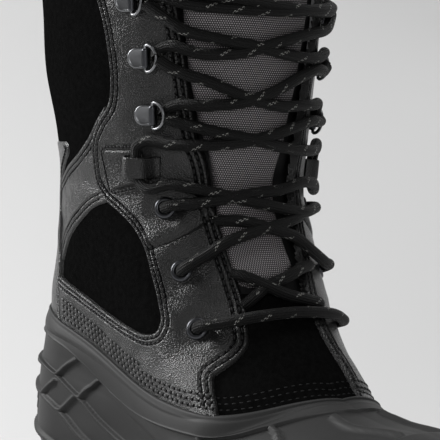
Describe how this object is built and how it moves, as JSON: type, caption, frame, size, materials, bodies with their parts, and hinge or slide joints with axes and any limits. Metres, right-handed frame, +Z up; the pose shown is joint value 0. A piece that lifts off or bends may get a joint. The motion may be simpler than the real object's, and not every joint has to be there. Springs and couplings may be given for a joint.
{
  "type": "pac boot",
  "caption": "Tall men's pac boot for the right foot: ribbed rubber shell on a lugged sole, black leather and suede upper, nylon tongue, round lace.",
  "frame": {"origin": "on the ground, under the middle of the heel", "axes": "+Z up, the toe points to -Y, the wearer's right and the boot's outer side is -X"},
  "size_m": [0.1354, 0.3263, 0.3173],
  "materials": {
    "rubber": "matte",
    "black_leather": "semi-gloss",
    "black_suede": "matte",
    "tongue_nylon": "matte",
    "insole_felt": "matte",
    "binding": "matte",
    "gunmetal": "satin",
    "dark_eyelet": "satin",
    "lace_cord": "matte"
  },
  "bodies": {
    "root": {"shell": "rubber", "outsole": "rubber", "insole": "insole_felt", "upper": "black_suede", "tongue": "tongue_nylon", "back_stay": "black_leather", "collar_binding": "binding", "quarter_outer": "black_leather", "ankle_panel_outer": "black_leather", "rim_strip_outer": "black_leather", "keeper_patch_outer": "black_leather", "keeper_loop_outer": "black_leather", "eyelet_outer_low": "dark_eyelet", "eyelet_outer_middle": "dark_eyelet", "eyelet_outer_high": "dark_eyelet", "ring_plate_outer_low": "gunmetal", "d_ring_outer_low": "gunmetal", "ring_plate_outer_middle": "gunmetal", "d_ring_outer_middle": "gunmetal", "ring_plate_outer_top": "gunmetal", "d_ring_outer_top": "gunmetal", "quarter_inner": "black_leather", "ankle_panel_inner": "black_leather", "rim_strip_inner": "black_leather", "keeper_patch_inner": "black_leather", "keeper_loop_inner": "black_leather", "eyelet_inner_low": "dark_eyelet", "eyelet_inner_middle": "dark_eyelet", "eyelet_inner_high": "dark_eyelet", "ring_plate_inner_low": "gunmetal", "d_ring_inner_low": "gunmetal", "ring_plate_inner_middle": "gunmetal", "d_ring_inner_middle": "gunmetal", "ring_plate_inner_top": "gunmetal", "d_ring_inner_top": "gunmetal", "lace_bar": "lace_cord", "lace_cross_1": "lace_cord", "lace_cross_2": "lace_cord", "lace_cross_3": "lace_cord", "lace_cross_4": "lace_cord", "lace_cross_5": "lace_cord", "lace_cross_6": "lace_cord"}
  },
  "joints": []
}
